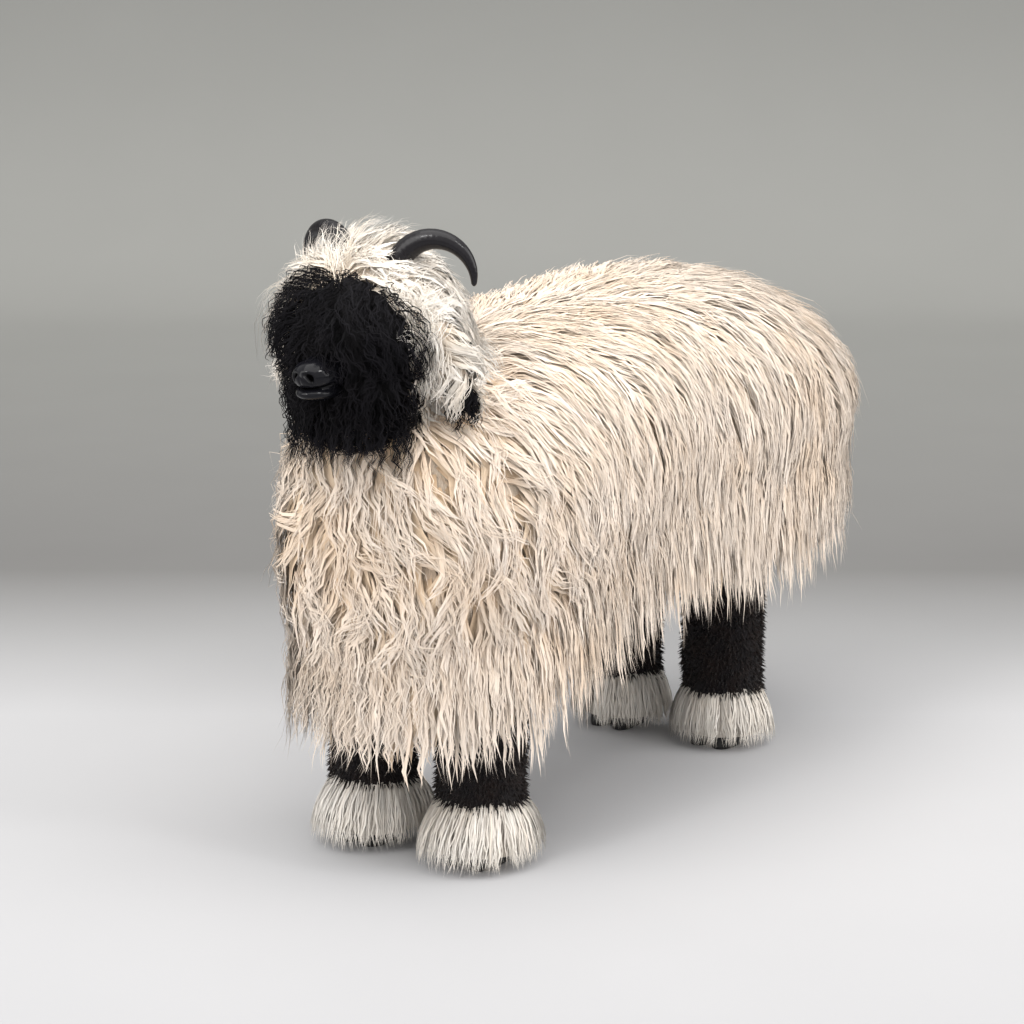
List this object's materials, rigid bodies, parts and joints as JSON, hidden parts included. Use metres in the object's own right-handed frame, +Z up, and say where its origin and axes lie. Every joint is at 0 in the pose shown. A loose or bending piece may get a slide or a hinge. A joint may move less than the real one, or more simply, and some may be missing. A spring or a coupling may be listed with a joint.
{
  "type": "sheepskin-covered sheep figure",
  "caption": "Life-size standing blacknose sheep figure in long cream sheepskin with black curly face, black legs, gloss muzzle and crescent horns.",
  "frame": {"origin": "on the floor under the middle of the figure's box", "axes": "+Z up; the figure faces -Y, so its length runs along Y; +X is the figure's own left side"},
  "size_m": [0.4288, 1.0436, 0.7553],
  "materials": {
    "coat_wool": "long soft cream sheepskin in wavy locks",
    "head_wool": "soft off-white sheepskin",
    "fetlock_wool": "straight white fetlock wool",
    "face_wool": "black tightly curled lambskin",
    "leg_pile": "short dense black-brown pile",
    "muzzle_gloss": "moulded gloss black",
    "horn_polished": "polished black",
    "hoof_black": "satin black"
  },
  "bodies": {
    "root": {"ear_left": "face_wool", "ear_right": "face_wool", "face": "face_wool", "fetlock_front_left": "fetlock_wool", "fetlock_front_right": "fetlock_wool", "fetlock_rear_left": "fetlock_wool", "fetlock_rear_right": "fetlock_wool", "head": "head_wool", "hoof_front_left": "hoof_black", "hoof_front_right": "hoof_black", "hoof_rear_left": "hoof_black", "hoof_rear_right": "hoof_black", "horn_left": "horn_polished", "horn_right": "horn_polished", "leg_front_left": "leg_pile", "leg_front_right": "leg_pile", "leg_rear_left": "leg_pile", "leg_rear_right": "leg_pile", "muzzle": "muzzle_gloss", "neck": "head_wool", "tail": "coat_wool", "torso": "coat_wool"}
  },
  "joints": []
}
